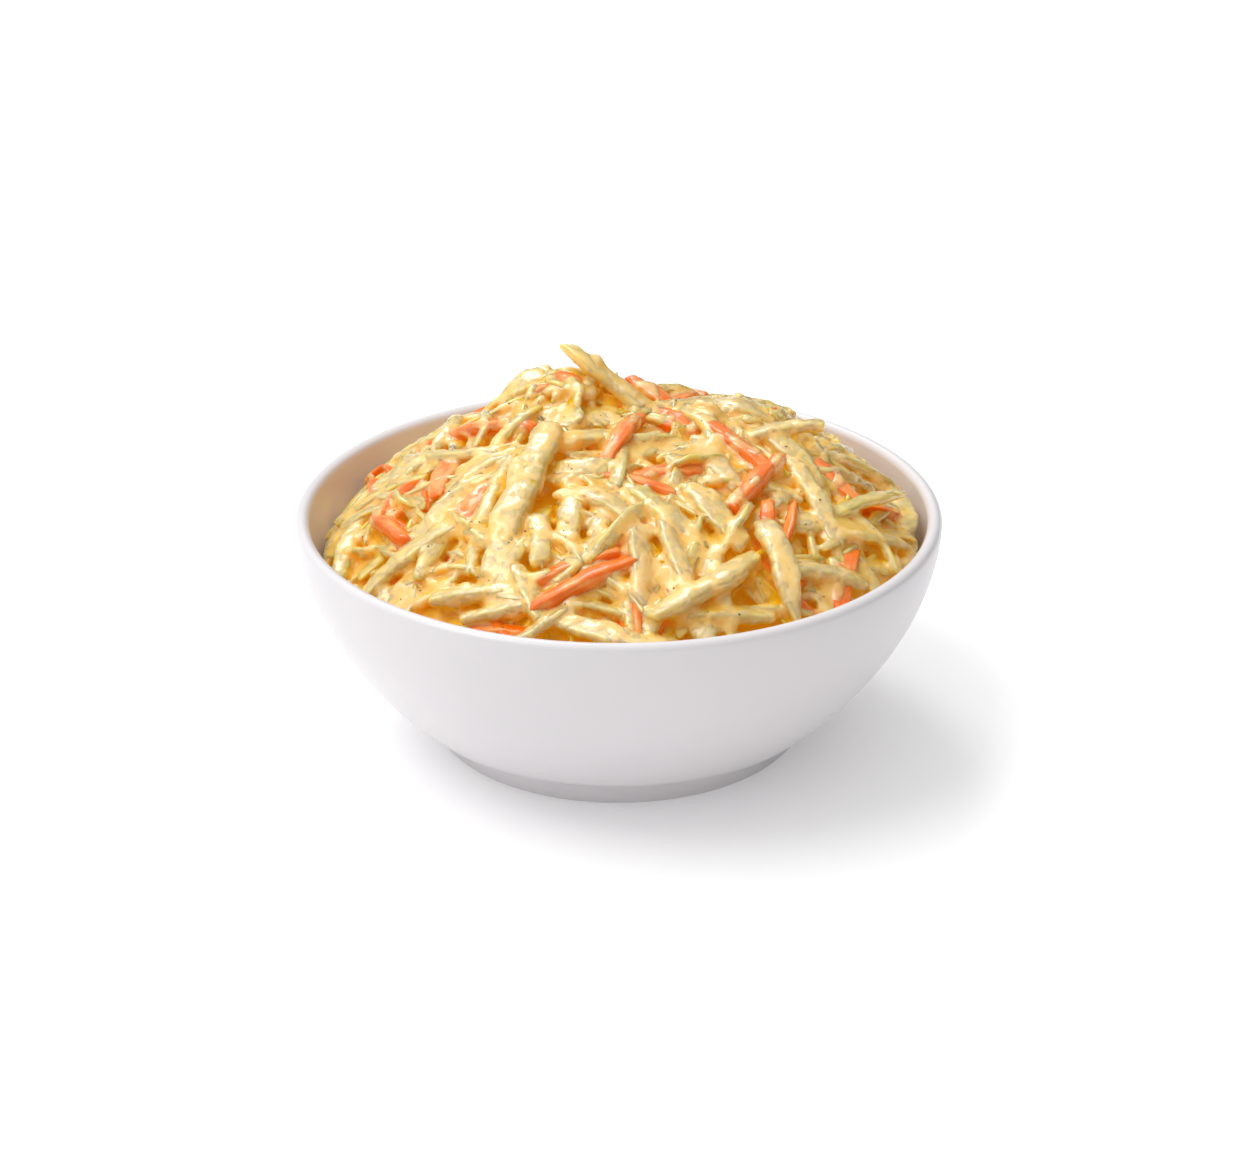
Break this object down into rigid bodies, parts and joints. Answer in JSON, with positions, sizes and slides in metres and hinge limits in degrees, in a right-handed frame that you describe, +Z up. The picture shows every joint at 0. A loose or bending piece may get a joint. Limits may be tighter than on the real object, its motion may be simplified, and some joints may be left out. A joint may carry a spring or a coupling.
{
  "type": "bowl of coleslaw",
  "caption": "Round white footed bowl heaped with creamy coleslaw: pale cabbage shreds, carrot sticks and dressing.",
  "frame": {"origin": "centre of the foot ring, on the surface that the bowl stands on", "axes": "+Z up through the heap; -Y towards the side that the picture shows"},
  "size_m": [0.14, 0.14, 0.0814],
  "materials": {
    "bowl_glaze": "smooth white glaze with a soft sheen",
    "dressed_cabbage": "pale cream-yellow cabbage shreds, wet with dressing, with orange carrot sticks between"
  },
  "bodies": {
    "root": {"bowl": "bowl_glaze", "coleslaw": "dressed_cabbage"}
  },
  "joints": []
}
